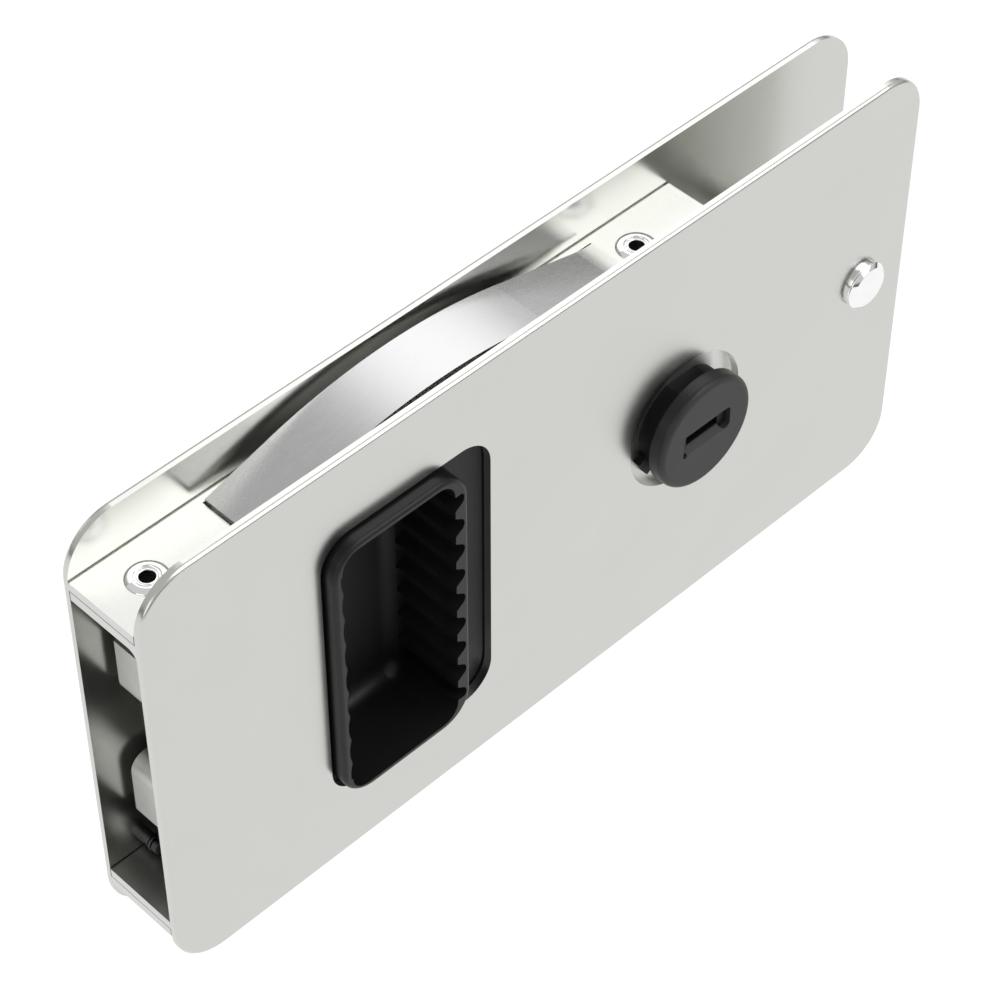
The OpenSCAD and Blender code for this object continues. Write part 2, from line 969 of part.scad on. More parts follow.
// Turning cap of the lock, soft-edged, with a socket that takes the core's head
module lock_cap() {
    back = yf - plate_t - cap_h + cap_t;
    color(dark)
    difference() {
        turned(lock_x, back, lock_z)
            crowned_half(cap_d / 2, cap_t, 1.5);
        ycyl(lock_x, back - 1.6, back + 1, lock_z, core_d - 3);
        keyway();
    }
}

// Core that turns in the housing, with a square end for the cam
module lock_core() {
    back = yf - plate_t - cap_h + cap_t;
    color(zinc)
    difference() {
        union() {
            ycyl(lock_x, back - 1.6, back + 0.5, lock_z, core_d - 3);
            ycyl(lock_x, back, housing_back + 0.2, lock_z, core_d);
            span([lock_x - core_sq / 2, housing_back, lock_z - core_sq / 2],
                [lock_x + core_sq / 2, cam_y + cam_t - 0.1, lock_z + core_sq / 2]);
        }
        keyway();
        ycyl(lock_x, housing_back - 3, core_back + 2, lock_z, 4);
    }
}

// Cam that stops the slide's lug when it is turned towards the mouth
module lock_cam() {
    color(zinc)
    yslab(cam_y, cam_y + cam_t)
        translate([lock_x, lock_z])
            difference() {
                union() {
                    circle(core_d / 2 + 2.2);
                    translate([-5, 0])
                        square([10, cam_r - 2]);
                    translate([-3, 0])
                        square([6, cam_r]);
                    for (s = [-1, 1]) {
                        translate([s * 3, cam_r - 2])
                            circle(2);
                    }
                }
                square(core_sq, center = true);
            }
}

// Screw with its washer head that holds the cam on the core
module cam_screw() {
    color(zinc)
    difference() {
        union() {
            ycyl(lock_x, housing_back - 3, cam_y + cam_t + 0.1, lock_z, 4);
            ycyl(lock_x, cam_y + cam_t, cam_y + cam_t + 0.6, lock_z, 12.5);
            ycyl(lock_x, cam_y + cam_t + 0.5, cam_y + cam_t + 2.4, lock_z, 8);
        }
        span([lock_x - 2.6, cam_y + cam_t + 1.3, lock_z - 0.5],
            [lock_x + 2.6, cam_y + cam_t + 3, lock_z + 0.5]);
        span([lock_x - 0.5, cam_y + cam_t + 1.3, lock_z - 2.6],
            [lock_x + 0.5, cam_y + cam_t + 3, lock_z + 2.6]);
    }
}

// Profile of a through bolt head: collar, narrow groove and chamfered disc
module bolt_head() {
    r = bolt_head_d / 2;
    collar = bolt_head_h * 0.42;
    polygon([
        [0, 0],
        [r - 0.4, 0],
        [r - 0.4, collar - 0.35],
        [r - 0.75, collar],
        [r - 1.2, collar],
        [r - 1.2, collar + 0.25],
        [r, collar + 0.25],
        [r, bolt_head_h - 0.6],
        [r - 0.6, bolt_head_h],
        [0, bolt_head_h]
    ]);
}

// Polished through bolt on the front plate
module through_bolt() {
    color(zinc) {
        turned(bolt_x, yf - plate_t, bolt_z)
            bolt_head();
        ycyl(bolt_x, yf - plate_t - eps, yb - 4, bolt_z, bolt_d);
    }
}

// Barrel nut from the back plate, through the door panel onto the bolt
module barrel_nut() {
    color(zinc)
    difference() {
        union() {
            mirror([0, 1, 0])
                turned(bolt_x, -yb - plate_t, bolt_z)
                    bolt_head();
            ycyl(bolt_x, yf + 0.2, yb + plate_t + eps, bolt_z, barrel_d);
        }
        ycyl(bolt_x, yf - 1, yb - 2, bolt_z, bolt_d);
    }
}

front_plate();
back_plate();
front_frame();
back_frame();
blind_rivets();
rivet_mandrels();
guide_rails();
finger_cup();
drive_plate();
push_nuts();
upper_jaw();
lower_jaw();
upper_drive_pin();
lower_drive_pin();
jaw_pivots();
pivot_clips();
spring_posts();
upper_spring();
lower_spring();
lock_bracket();
lock_housing();
lock_clip();
lock_cap();
lock_core();
lock_cam();
cam_screw();
through_bolt();
barrel_nut();
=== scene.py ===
"""Looks of the flush sliding door latch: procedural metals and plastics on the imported
solids, turned rivets and bolt, wound springs, a studio with a pale floor, and the
camera. Metres, +Z up."""
import math

import bmesh
import bpy
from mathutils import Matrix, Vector


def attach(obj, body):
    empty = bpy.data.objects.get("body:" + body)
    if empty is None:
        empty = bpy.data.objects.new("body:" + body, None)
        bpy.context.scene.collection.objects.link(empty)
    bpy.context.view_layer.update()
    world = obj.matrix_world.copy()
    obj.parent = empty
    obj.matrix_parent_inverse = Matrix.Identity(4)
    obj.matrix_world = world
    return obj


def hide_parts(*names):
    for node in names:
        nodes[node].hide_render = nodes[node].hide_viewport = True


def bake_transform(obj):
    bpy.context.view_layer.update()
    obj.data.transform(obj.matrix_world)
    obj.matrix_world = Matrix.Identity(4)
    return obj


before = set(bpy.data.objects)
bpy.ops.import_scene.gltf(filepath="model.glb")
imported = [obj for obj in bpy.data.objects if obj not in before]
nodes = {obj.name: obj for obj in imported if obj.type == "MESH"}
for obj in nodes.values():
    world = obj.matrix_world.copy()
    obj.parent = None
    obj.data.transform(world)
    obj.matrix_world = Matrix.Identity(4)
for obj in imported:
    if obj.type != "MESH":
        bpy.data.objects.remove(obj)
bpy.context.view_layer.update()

MM = 0.001
UM = 0.000001
X, Y, Z = Vector((1, 0, 0)), Vector((0, 1, 0)), Vector((0, 0, 1))


# Camera at the photograph's viewing angle
CAM_AZ, CAM_EL = math.radians(-44.502), math.radians(46.38)
CAM_DIST = 674.93 * MM
CAM_TARGET = Vector((108.74, 5.475, -8.335)) * MM
CAM_LENS, CAM_SENSOR = 113.19, 36
CAM_NEAR, CAM_FAR = 0.01, 50

toward = Vector((math.sin(CAM_AZ) * math.cos(CAM_EL),
                 -math.cos(CAM_AZ) * math.cos(CAM_EL),
                 math.sin(CAM_EL)))
cam_data = bpy.data.cameras.new("camera")
cam_data.lens, cam_data.sensor_width = CAM_LENS, CAM_SENSOR
cam_data.clip_start, cam_data.clip_end = CAM_NEAR, CAM_FAR
camera = bpy.data.objects.new("camera", cam_data)
bpy.context.scene.collection.objects.link(camera)
camera.location = CAM_TARGET + toward * CAM_DIST
camera.rotation_euler = (-toward).to_track_quat("-Z", "Y").to_euler()
bpy.context.scene.camera = camera


class Tree:
    """Short way to write a node tree, of a material or of the world."""

    def __init__(self, owner):
        owner.use_nodes = True
        self.tree = owner.node_tree
        self.tree.nodes.clear()

    def add(self, kind, values=None, **props):
        """A node, its properties, and the numbers set on its input sockets."""
        node = self.tree.nodes.new("ShaderNode" + kind)
        for key, value in props.items():
            setattr(node, key, value)
        for key, value in (values or {}).items():
            node.inputs[key].default_value = value
        return node

    def link(self, a, b):
        self.tree.links.new(a, b)

    def ramp(self, value, stops):
        """Colour ramp over the value, from stops of a place and a colour."""
        node = self.add("ValToRGB")
        elements = node.color_ramp.elements
        for element, (place, colour) in zip(elements, (stops[0], stops[-1])):
            element.position, element.color = place, (*colour, 1)
        for place, colour in stops[1:-1]:
            elements.new(place).color = (*colour, 1)
        self.link(value, node.inputs["Fac"])
        return node.outputs["Color"]


class Material(Tree):
    """A material of one shader, whose patterns lie in the object's own coordinates."""

    def __init__(self, name):
        self.mat = bpy.data.materials.new(name)
        super().__init__(self.mat)
        self.bsdf = self.add("BsdfPrincipled")
        self.link(self.bsdf.outputs["BSDF"], self.add("OutputMaterial").inputs["Surface"])
        self.coord = self.add("TexCoord").outputs["Object"]

    def axes(self):
        """Sockets of the place's X, Y and Z."""
        node = self.add("SeparateXYZ")
        self.link(self.coord, node.inputs[0])
        return node.outputs

    def noise(self, scale, detail, rough, stretch=None):
        source = self.coord
        if stretch:
            mapping = self.add("Mapping", {"Scale": stretch})
            self.link(source, mapping.inputs["Vector"])
            source = mapping.outputs["Vector"]
        node = self.add("TexNoise", {"Scale": scale, "Detail": detail, "Roughness": rough})
        self.link(source, node.inputs["Vector"])
        return node.outputs["Fac"]

    def cells(self, scale):
        node = self.add("TexVoronoi", {"Scale": scale})
        self.link(self.coord, node.inputs["Vector"])
        return node.outputs["Distance"]

    def span(self, value, low, high, start=0.25, end=0.75):
        """The value from start to end, brought to the range from low to high."""
        node = self.add("MapRange", {"From Min": start, "From Max": end,
                                     "To Min": low, "To Max": high})
        self.link(value, node.inputs["Value"])
        return node.outputs["Result"]

    def rise(self, value, start, end):
        """0 up to start, 1 from end on."""
        return self.span(value, 0.0, 1.0, start, end)

    def fall(self, value, start, end):
        """1 up to start, 0 from end on."""
        return self.span(value, 1.0, 0.0, start, end)

    def mix(self, fac, a, b):
        """Colour a where fac is 0 and b where it is 1."""
        node = self.add("Mix", data_type="RGBA")
        for socket, index in ((fac, 0), (a, 6), (b, 7)):
            self.link(socket, node.inputs[index])
        return node.outputs[2]

    def mixf(self, fac, a, b):
        """Number a where fac is 0 and b where it is 1."""
        node = self.add("Mix", data_type="FLOAT")
        for socket, index in ((fac, 0), (a, 2), (b, 3)):
            self.link(socket, node.inputs[index])
        return node.outputs[0]

    def plus(self, a, b):
        node = self.add("Math", operation="ADD")
        self.link(a, node.inputs[0])
        self.link(b, node.inputs[1])
        return node.outputs[0]

    def both(self, a, b):
        """Product of two masks."""
        node = self.add("Math", operation="MULTIPLY")
        self.link(a, node.inputs[0])
        self.link(b, node.inputs[1])
        return node.outputs[0]

    def share(self, value, factor):
        node = self.add("Math", {1: factor}, operation="MULTIPLY")
        self.link(value, node.inputs[0])
        return node.outputs[0]

    def tint(self, value, colour, spread):
        """The colour, from a little darker to a little lighter with the value."""
        low = tuple(c * (1 - spread) for c in colour)
        high = tuple(min(1, c * (1 + spread)) for c in colour)
        return self.ramp(value, [(0.3, low), (0.5, colour), (0.7, high)])

    def bump(self, height, distance, strength, before=None):
        node = self.add("Bump", {"Strength": strength, "Distance": distance})
        self.link(height, node.inputs["Height"])
        if before is not None:
            self.link(before, node.inputs["Normal"])
        return node.outputs["Normal"]

    def done(self, colour, rough, normal, metallic=0.0, specular=None):
        for socket, key in ((colour, "Base Color"), (rough, "Roughness"),
                            (normal, "Normal")):
            self.link(socket, self.bsdf.inputs[key])
        self.bsdf.inputs["Metallic"].default_value = metallic
        if specular is not None:
            self.bsdf.inputs["Specular IOR Level"].default_value = specular
        return self.mat


def blasted(name, colour, rough, grain):
    """Bead-blasted steel: fine grain with broad, faint clouds in tone and gloss."""
    n = Material(name)
    clouds = n.noise(scale=55, detail=4, rough=0.6)
    fine = n.noise(scale=2600, detail=3, rough=0.6)
    coarse = n.noise(scale=700, detail=2, rough=0.5)
    tone = n.tint(n.share(n.plus(clouds, fine), 0.5), colour, spread=0.03)
    gloss = n.span(clouds, low=rough - 0.03, high=rough + 0.04)
    normal = n.bump(coarse, 60 * UM, grain * 0.6, n.bump(fine, 30 * UM, grain))
    return n.done(tone, gloss, normal, metallic=1.0)


def strip_steel(name, satin_colour, tongue_colour):
    """The case strips' steel, satin all over, with the smoother rolled tongue."""
    above_strip = (46.55 * MM, 46.80 * MM)
    n = Material(name)
    raised = n.rise(n.axes()["Z"], *above_strip)
    clouds = n.noise(scale=60, detail=4, rough=0.6)
    fine = n.noise(scale=2600, detail=3, rough=0.6)
    rolled = n.noise(scale=900, detail=3, rough=0.6, stretch=(0.06, 1.0, 1.0))
    satin = n.tint(n.share(n.plus(clouds, fine), 0.5), satin_colour, spread=0.06)
    smooth = n.tint(rolled, tongue_colour, spread=0.02)
    gloss = n.mixf(raised, n.span(clouds, low=0.29, high=0.34),
                   n.span(rolled, low=0.26, high=0.285))
    grain = n.mixf(raised, fine, n.share(rolled, 0.25))
    return n.done(n.mix(raised, satin, smooth), gloss, n.bump(grain, 30 * UM, 0.14),
                  metallic=1.0)


def galvanised(name, colour):
    """Zinc-plated sheet with a faint spangle."""
    n = Material(name)
    spangle = n.cells(scale=420)
    fine = n.noise(scale=1900, detail=3, rough=0.6)
    tone = n.tint(n.share(n.plus(spangle, fine), 0.7), colour, spread=0.08)
    gloss = n.span(fine, low=0.26, high=0.40)
    return n.done(tone, gloss, n.bump(fine, 40 * UM, 0.12), metallic=1.0)


def cast(name, colour, rough):
    """Die-cast zinc, tumbled: soft mottling and small pits."""
    n = Material(name)
    clouds = n.noise(scale=160, detail=4, rough=0.6)
    fine = n.noise(scale=2100, detail=3, rough=0.6)
    pits = n.rise(n.noise(scale=900, detail=1, rough=0.4), start=0.28, end=0.36)
    tone = n.tint(clouds, colour, spread=0.05)
    gloss = n.span(fine, low=rough - 0.05, high=rough + 0.08)
    normal = n.bump(pits, 60 * UM, 0.15, n.bump(fine, 40 * UM, 0.25))
    return n.done(tone, gloss, normal, metallic=0.85)


def polished(name, colour, rough):
    """Plated and polished metal with hairline turning marks."""
    n = Material(name)
    hair = n.noise(scale=3000, detail=2, rough=0.5, stretch=(1.0, 0.2, 1.0))
    tone = n.tint(n.noise(scale=300, detail=3, rough=0.5), colour, spread=0.02)
    gloss = n.span(hair, low=rough * 0.7, high=rough * 1.6)
    return n.done(tone, gloss, n.bump(hair, 10 * UM, 0.05), metallic=1.0)


def wire(name, colour, rough):
    """Drawn and oiled steel wire or spring steel."""
    n = Material(name)
    fine = n.noise(scale=2400, detail=3, rough=0.6)
    tone = n.tint(n.noise(scale=500, detail=3, rough=0.5), colour, spread=0.12)
    gloss = n.span(fine, low=rough - 0.06, high=rough + 0.1)
    return n.done(tone, gloss, n.bump(fine, 30 * UM, 0.15), metallic=1.0)


def plastic(name, colour, rough):
    """Moulded plastic with a spark-eroded texture and slightly uneven gloss."""
    n = Material(name)
    skin = n.noise(scale=2600, detail=3, rough=0.55)
    clouds = n.noise(scale=70, detail=3, rough=0.6)
    gloss = n.plus(n.span(clouds, low=rough - 0.03, high=rough + 0.03),
                   n.span(skin, low=-0.02, high=0.02))
    return n.done(n.tint(clouds, colour, spread=0.10), gloss,
                  n.bump(skin, 50 * UM, 0.18), specular=0.18)


def cup_plastic(name, colour, recess_shade_colour, rough, inner_rough):
    """Satin plastic of the finger cup, duller in the recess above its rubbed lower sweep,
    where its colour is also painted darker as painted shade.
    """
    behind_lip = (-11.0 * MM, -8.5 * MM)
    above_sweep = (-30.0 * MM, -22.0 * MM)
    n = Material(name)
    place = n.axes()
    deep = n.both(n.rise(place["Y"], *behind_lip), n.rise(place["Z"], *above_sweep))
    skin = n.noise(scale=2400, detail=3, rough=0.55)
    clouds = n.noise(scale=70, detail=3, rough=0.6)
    # The recess gets a darker colour: painted shade inside the cup.
    tone = n.mix(deep, n.tint(clouds, colour, spread=0.10),
                 n.tint(clouds, recess_shade_colour, spread=0.10))
    gloss = n.mixf(deep, n.span(clouds, low=rough - 0.03, high=rough + 0.03),
                   n.span(clouds, low=inner_rough - 0.04, high=inner_rough + 0.04))
    return n.done(tone, n.plus(gloss, n.span(skin, low=-0.02, high=0.02)),
                  n.bump(skin, 50 * UM, 0.18), specular=0.28)


def cap_plastic(name, face_colour, shaded_side_colour, keyway_shade_colour):
    """Lock cap: matt moulded face, smoother side painted darker as painted shade, and
    painted shade in the deep keyway.
    """
    lock_axis = (148.0 * MM, 0, 1.0 * MM)
    rim = (9.5 * MM, 11.0 * MM)
    behind_face = (-17.9 * MM, -16.9 * MM)
    inside_keyway = (-16.8 * MM, -16.3 * MM)
    n = Material(name)
    depth = n.axes()["Y"]
    flat = n.add("VectorMath", {1: (1, 0, 1)}, operation="MULTIPLY")
    n.link(n.coord, flat.inputs[0])
    away = n.add("VectorMath", {1: lock_axis}, operation="DISTANCE")
    n.link(flat.outputs["Vector"], away.inputs[0])
    radius = away.outputs["Value"]
    # Painted shade: the side behind the face gets a darker colour than the face, and it is
    # also glossier.
    side = n.both(n.rise(depth, *behind_face), n.rise(radius, *rim))
    # Painted shade: the deep keyway walls are coloured near black.
    keyway_shade_mask = n.both(n.rise(depth, *inside_keyway), n.fall(radius, *rim))
    skin = n.noise(scale=3000, detail=3, rough=0.55)
    clouds = n.noise(scale=70, detail=3, rough=0.6)
    face_tone, shaded_side_tone, keyway_shade_tone = (
        n.tint(clouds, colour, spread=0.10)
        for colour in (face_colour, shaded_side_colour, keyway_shade_colour))
    tone = n.mix(keyway_shade_mask, n.mix(side, face_tone, shaded_side_tone), keyway_shade_tone)
    gloss = n.mixf(side, n.span(skin, low=0.46, high=0.54),
                   n.span(skin, low=0.30, high=0.36))
    return n.done(tone, gloss, n.bump(skin, 50 * UM, 0.20), specular=0.30)


PLATE = blasted("satin_plate", (0.645, 0.652, 0.618), rough=0.24, grain=0.10)
STRIP = strip_steel("case_strip", (0.69, 0.693, 0.672), (0.60, 0.592, 0.60))
BRACKET = blasted("bracket_sheet", (0.66, 0.668, 0.63), rough=0.36, grain=0.20)
ZINC = galvanised("zinc_plated_sheet", (0.56, 0.57, 0.58))
CAST = cast("cast_zinc", (0.60, 0.60, 0.58), rough=0.40)
CHROME = polished("polished_plating", (0.94, 0.94, 0.945), rough=0.07)
BRIGHT = polished("ground_pins", (0.72, 0.72, 0.72), rough=0.16)
DARK_STEEL = wire("oiled_steel", (0.10, 0.10, 0.105), rough=0.34)
# The cup's second colour is painted shade in its recess.
CUP = cup_plastic("black_cup", (0.0085, 0.0085, 0.0094), (0.0075, 0.0075, 0.0083),
                  rough=0.37, inner_rough=0.55)
# The cap's second and third colours are painted shade on its side and in its keyway.
CAP = cap_plastic("lock_cap", (0.034, 0.034, 0.0345), (0.017, 0.017, 0.0175),
                  (0.004, 0.004, 0.004))
HOUSING = plastic("lock_housing", (0.005, 0.005, 0.0055), rough=0.50)
MANDREL = wire("broken_mandrel", (0.02, 0.02, 0.02), rough=0.62)
CORE = wire("greased_core", (0.035, 0.034, 0.033), rough=0.50)

FINISH = {
    "front_plate": PLATE, "back_plate": PLATE,
    "front_frame": STRIP, "back_frame": STRIP,
    "blind_rivets": CHROME, "rivet_mandrels": MANDREL, "guide_rails": ZINC,
    "finger_cup": CUP, "drive_plate": ZINC, "push_nuts": ZINC,
    "upper_jaw": CAST, "lower_jaw": CAST,
    "upper_drive_pin": BRIGHT, "lower_drive_pin": BRIGHT,
    "jaw_pivots": BRIGHT, "pivot_clips": DARK_STEEL, "spring_posts": DARK_STEEL,
    "upper_spring": DARK_STEEL, "lower_spring": DARK_STEEL,
    "lock_bracket": BRACKET, "lock_housing": HOUSING, "lock_clip": ZINC,
    "lock_cap": CAP, "lock_core": CORE, "lock_cam": ZINC, "cam_screw": ZINC,
    "through_bolt": CHROME, "barrel_nut": CHROME,
}
for name, material in FINISH.items():
    mesh_slots = nodes[name].material_slots
    if len(mesh_slots) == 0:
        nodes[name].data.materials.append(material)
    for mesh_slot in mesh_slots:
        mesh_slot.material = material


def set_down(name, mesh, material):
    """Object of the mesh, with its one material, in the scene."""
    mesh.materials.append(material)
    piece = bpy.data.objects.new(name, mesh)
    bpy.context.scene.collection.objects.link(piece)
    return piece


def tube(name, points, radius, sides, material):
    """Mesh tube of that radius along the points, with closed ends."""
    verts, faces = [], []
    side = None
    for i, point in enumerate(points):
        ahead = points[min(i + 1, len(points) - 1)] - points[max(i - 1, 0)]
        ahead.normalize()
        if side is None:
            side = ahead.orthogonal().normalized()
        side = (side - ahead * side.dot(ahead)).normalized()
        other = ahead.cross(side)
        for k in range(sides):
            a = 2 * math.pi * k / sides
            verts.append(point + (side * math.cos(a) + other * math.sin(a)) * radius)
    for i in range(len(points) - 1):
        for k in range(sides):
            a, b = i * sides + k, i * sides + (k + 1) % sides
            faces.append((a, b, b + sides, a + sides))
    faces.append(tuple(range(sides))[::-1])
    last = (len(points) - 1) * sides
    faces.append(tuple(range(last, last + sides)))
    mesh = bpy.data.meshes.new(name)
    mesh.from_pydata([tuple(v) for v in verts], [], faces)
    for face in mesh.polygons:
        face.use_smooth = len(face.vertices) == 4
    return set_down(name, mesh, material)


SAME_SPOT, NO_LENGTH = 1e-7, 1e-8
SHARP_EDGE = math.radians(38)


def lathe(name, profile, steps, placings, material):
    """Turned piece: profile points (radius, height) in millimetres, swept round an axis
    and set down once for each placing, an origin with three axes."""
    verts, faces = [], []
    for origin, side, along, up in placings:
        first = len(verts)
        for r, h in profile:
            for k in range(steps):
                a = 2 * math.pi * k / steps
                spot = side * (r * math.cos(a)) + along * (r * math.sin(a)) + up * h
                verts.append((origin + spot) * MM)
        for i in range(len(profile)):
            j = (i + 1) % len(profile)
            if profile[i][0] == 0 and profile[j][0] == 0:
                continue
            for k in range(steps):
                m = (k + 1) % steps
                faces.append((first + i * steps + k, first + i * steps + m,
                              first + j * steps + m, first + j * steps + k))
    mesh = bpy.data.meshes.new(name)
    mesh.from_pydata([tuple(v) for v in verts], [], faces)
    work = bmesh.new()
    work.from_mesh(mesh)
    bmesh.ops.remove_doubles(work, verts=work.verts, dist=SAME_SPOT)
    bmesh.ops.dissolve_degenerate(work, edges=work.edges, dist=NO_LENGTH)
    bmesh.ops.recalc_face_normals(work, faces=work.faces)
    work.to_mesh(mesh)
    work.free()
    for face in mesh.polygons:
        face.use_smooth = True
    mesh.set_sharp_from_angle(angle=SHARP_EDGE)
    return set_down(name, mesh, material)


# Blind rivets, bolt and barrel nut, turned finely, in place of the plainer solids.
# Each profile runs in millimetres of radius and of height above the face it sits on.
RIVET_XS, STRIP_TOP = (11.3, 142.9), 46.4
RIVET = [(1.65, -8.2), (1.65, 0.28), (1.65, 0.36), (1.69, 0.44), (1.78, 0.49),
         (1.90, 0.50), (2.02, 0.49), (2.11, 0.44), (2.16, 0.34), (2.22, 0.22),
         (2.32, 0.16), (2.44, 0.17), (2.52, 0.26), (2.57, 0.42), (2.64, 0.56),
         (2.76, 0.65), (2.95, 0.675), (3.30, 0.64), (3.65, 0.57), (3.95, 0.47),
         (4.20, 0.34), (4.38, 0.20), (4.47, 0.08), (4.50, 0.01),
         (2.40, 0.01), (2.40, -4.8), (3.20, -4.8), (3.20, -8.2)]
RIVET_STEPS = 72
rivets = lathe("turned_rivets", RIVET, RIVET_STEPS,
               [(Vector((x, 0, s * STRIP_TOP)), X, Y, Z * s)
                for x in RIVET_XS for s in (1, -1)],
               CHROME)
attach(rivets, "case")
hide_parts("blind_rivets")

BOLT_X, BOLT_Z, PLATE_FACE = 205.7, 3.7, 11.525
HEAD = [(0.0, 2.30), (4.70, 2.30), (4.85, 2.30), (4.94, 2.28), (5.02, 2.23), (5.80, 1.50),
        (5.86, 1.43), (5.89, 1.36), (5.90, 1.28), (5.86, 1.216), (4.70, 1.216),
        (4.70, 0.966), (5.10, 0.966), (5.25, 0.93), (5.38, 0.84), (5.47, 0.72),
        (5.50, 0.60), (5.50, 0.0)]
SHANK = [(2.50, 0.0), (2.50, -16.85), (2.30, -17.05), (0.0, -17.05)]
BARREL = [(4.00, 0.0), (4.00, -20.85), (2.50, -20.85), (2.50, -4.0), (0.0, -4.0)]
HEAD_STEPS = 96
for name, node, tail, y, up in (("turned_bolt", "through_bolt", SHANK, -PLATE_FACE, -Y),
                                ("turned_barrel_nut", "barrel_nut", BARREL, PLATE_FACE, Y)):
    piece = lathe(name, HEAD + tail, HEAD_STEPS,
                  [(Vector((BOLT_X, y, BOLT_Z)), X, Z, up)], CHROME)
    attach(piece, "case")
    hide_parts(node)


# Return springs: one wound wire each, from the post on the back plate to the drive pin.
# The upper one is laid out in millimetres, and the lower one is its mirror image.
POST_X, POST_Z, SPRING_Y = 9.5, 38.6, 6.325
PIVOT_X, PIVOT_Z, ARM, TRAVEL = 33.0, 15.0, 22.0, 8.4
LEAN = math.asin(TRAVEL / (2 * ARM))
PIN_X = PIVOT_X - ARM * math.sin(LEAN)
PIN_Z = PIVOT_Z + ARM * math.cos(LEAN)
POST_R, PIN_R = 1.0, 1.4
WIRE, WIRE_SIDES, COIL = 0.35, 10, 1.65
TURNS, TURN_STEPS = 17, 20
TAPER_STEPS, TAPER_START = 8, 0.35
BODY_END = 3.4
HOOK_PLAY, HOOK_PITCH = 0.06, 0.28
HOOK_START, HOOK_TURN, HOOK_STEPS = -50, 410, 24
LEAD_X, LEAD_Y, LEAD_Z = 0.8, 0.2, 0.25


def spring_line():
    """Points of the wire in millimetres, along X from the post's axis: a hook round the
    post, the wound body, tapered at both ends, and a hook round the drive pin."""
    length = math.hypot(PIN_X - POST_X, PIN_Z - POST_Z)
    post_hook, pin_hook = POST_R + WIRE + HOOK_PLAY, PIN_R + WIRE + HOOK_PLAY
    line = []
    for k in range(HOOK_STEPS + 1):
        a = math.radians(HOOK_START + k * (HOOK_TURN / HOOK_STEPS))
        line.append(Vector((post_hook * math.cos(a), HOOK_PITCH * (k / HOOK_STEPS - 0.5),
                            post_hook * math.sin(a))))
    line.append(Vector((post_hook + LEAD_X, LEAD_Y, LEAD_Z)))
    steps = TURNS * TURN_STEPS
    for k in range(steps + 1):
        a = 2 * math.pi * k / TURN_STEPS
        grow = min(1.0, k / TAPER_STEPS, (steps - k) / TAPER_STEPS)
        r = COIL * (TAPER_START + (1 - TAPER_START) * grow)
        x = BODY_END + (length - 2 * BODY_END) * k / steps
        line.append(Vector((x, r * math.sin(a), r * math.cos(a))))
    line.append(Vector((length - pin_hook - LEAD_X, -LEAD_Y, LEAD_Z)))
    for k in range(HOOK_STEPS + 1):
        a = math.radians(180 - k * (HOOK_TURN / HOOK_STEPS))
        line.append(Vector((length + pin_hook * math.cos(a),
                            HOOK_PITCH * (0.5 - k / HOOK_STEPS), pin_hook * math.sin(a))))
    return line


tilt = math.atan2(PIN_Z - POST_Z, PIN_X - POST_X)
for name, jaw, side in (("upper", "upper_jaw_body", 1), ("lower", "lower_jaw_body", -1)):
    wire_points = []
    for p in spring_line():
        x = POST_X + p.x * math.cos(tilt) - p.z * math.sin(tilt)
        z = POST_Z + p.x * math.sin(tilt) + p.z * math.cos(tilt)
        wire_points.append(Vector((x, SPRING_Y + p.y, side * z)) * MM)
    coil = tube(name + "_wound_spring", wire_points, WIRE * MM, WIRE_SIDES, DARK_STEEL)
    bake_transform(coil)
    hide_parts(name + "_spring")


# Studio: pale floor below, soft boxes, and a world that is white to the camera
MIDDLE = Vector((0.11, 0.0, 0.0))
FLOOR_SIZE, FLOOR_HEIGHT = 12.0, -0.26
FLOOR_COLOUR, FLOOR_SHADE = (0.80, 0.80, 0.79, 1), (0.28, 0.28, 0.28, 1)
FLOOR_GLOW, FLOOR_WHITER = 0.715, 0.09


def pale_floor():
    """Plain pale floor. To the camera and in reflections it is a darker one with a glow of
    its own, which looks white and keeps the shadow."""
    s = FLOOR_SIZE / 2
    mesh = bpy.data.meshes.new("floor")
    mesh.from_pydata([(-s, -s, 0), (s, -s, 0), (s, s, 0), (-s, s, 0)], [], [(0, 1, 2, 3)])
    mat = bpy.data.materials.new("pale_floor")
    piece = set_down("floor", mesh, mat)
    piece.location = (MIDDLE.x, 0, FLOOR_HEIGHT)
    t = Tree(mat)
    path = t.add("LightPath").outputs
    seen = t.add("Math", operation="MAXIMUM")
    level = t.add("Math", {1: FLOOR_WHITER, 2: FLOOR_GLOW}, operation="MULTIPLY_ADD")
    plain = t.add("BsdfDiffuse", {"Color": FLOOR_COLOUR})
    shade = t.add("BsdfDiffuse", {"Color": FLOOR_SHADE})
    glow = t.add("Emission")
    bright = t.add("AddShader")
    mix = t.add("MixShader")
    for source, socket in ((path["Is Camera Ray"], seen.inputs[0]),
                           (path["Is Glossy Ray"], seen.inputs[1]),
                           (path["Is Camera Ray"], level.inputs[0]),
                           (level.outputs[0], glow.inputs["Strength"]),
                           (shade.outputs[0], bright.inputs[0]),
                           (glow.outputs[0], bright.inputs[1]),
                           (seen.outputs[0], mix.inputs[0]),
                           (plain.outputs[0], mix.inputs[1]),
                           (bright.outputs[0], mix.inputs[2]),
                           (mix.outputs[0], t.add("OutputMaterial").inputs["Surface"])):
        t.link(source, socket)


pale_floor()


def softbox(name, place, aim, size, radiance):
    """Square area lamp of a given brightness as seen, at place, turned to aim."""
    data = bpy.data.lights.new(name, "AREA")
    data.shape = "SQUARE"
    data.size = size
    data.energy = radiance * math.pi * size * size
    lamp = bpy.data.objects.new(name, data)
    bpy.context.scene.collection.objects.link(lamp)
    lamp.location = place
    lamp.rotation_euler = (aim - place).to_track_quat("-Z", "Y").to_euler()
    lamp.visible_camera = False


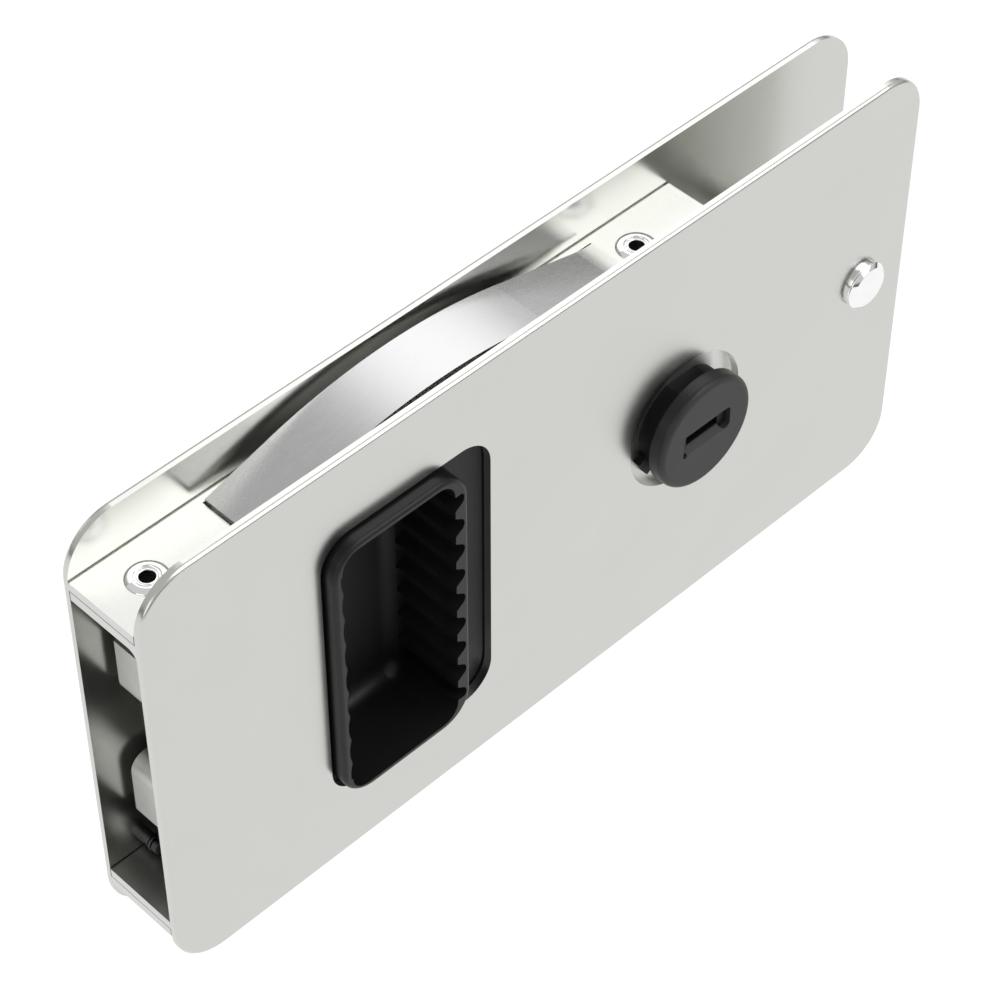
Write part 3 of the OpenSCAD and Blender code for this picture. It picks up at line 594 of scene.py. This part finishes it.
# Name, direction from the middle, how many times its length away, and brightness
BOXES = (("side_box", (-0.95, -0.25, 0.35), 1.6, 0.9),
         ("front_box", (0.35, -0.95, 0.55), 1.7, 0.7),
         ("rear_box", (-0.3, 0.95, 0.4), 1.7, 0.6))
BOX_SIZE = 0.9
for name, way, times, radiance in BOXES:
    softbox(name, MIDDLE + Vector(way) * times, MIDDLE, BOX_SIZE, radiance)

# Grey level of the world from straight down, 0, to straight up, 1. The dark band at the
# horizon, 0.5, gives polished metal and the plates' edges their dark outlines.
SKY = [(0.0, 1.0), (0.44, 0.90), (0.48, 0.12), (0.53, 0.12), (0.60, 0.58), (0.75, 0.60),
       (1.0, 0.62)]
# Smooth bright zones: direction, angles where it is full and where it ends, and strength
ZONES = (((0.552, 0.489, 0.676), 0, 23, 1.25),
         ((0.380, -0.530, 0.760), 6, 31, 2.4))

world = bpy.data.worlds.new("studio")
bpy.context.scene.world = world
sky = Tree(world)
around = sky.add("Background")
white = sky.add("Background", {"Color": (1, 1, 1, 1), "Strength": 1.0})
direction = sky.add("TexCoord").outputs["Generated"]
parts = sky.add("SeparateXYZ")
sky.link(direction, parts.inputs[0])
height = sky.add("MapRange", {"From Min": -1, "From Max": 1})
sky.link(parts.outputs["Z"], height.inputs["Value"])
total = sky.ramp(height.outputs["Result"], [(place, (grey,) * 3) for place, grey in SKY])
for middle, full, end, added in ZONES:
    facing = sky.add("VectorMath", {1: Vector(middle).normalized()},
                     operation="DOT_PRODUCT")
    zone = sky.add("MapRange", {"From Min": math.cos(math.radians(end)),
                                "From Max": math.cos(math.radians(full)),
                                "To Max": added}, interpolation_type="SMOOTHSTEP")
    brighter = sky.add("VectorMath", operation="ADD")
    sky.link(direction, facing.inputs[0])
    sky.link(facing.outputs["Value"], zone.inputs["Value"])
    sky.link(total, brighter.inputs[0])
    sky.link(zone.outputs["Result"], brighter.inputs[1])
    total = brighter.outputs["Vector"]
sky.link(total, around.inputs["Color"])
mix = sky.add("MixShader")
sky.link(sky.add("LightPath").outputs["Is Camera Ray"], mix.inputs[0])
sky.link(around.outputs[0], mix.inputs[1])
sky.link(white.outputs[0], mix.inputs[2])
sky.link(mix.outputs[0], sky.add("OutputWorld").inputs["Surface"])

bpy.context.scene.view_settings.view_transform = "Standard"
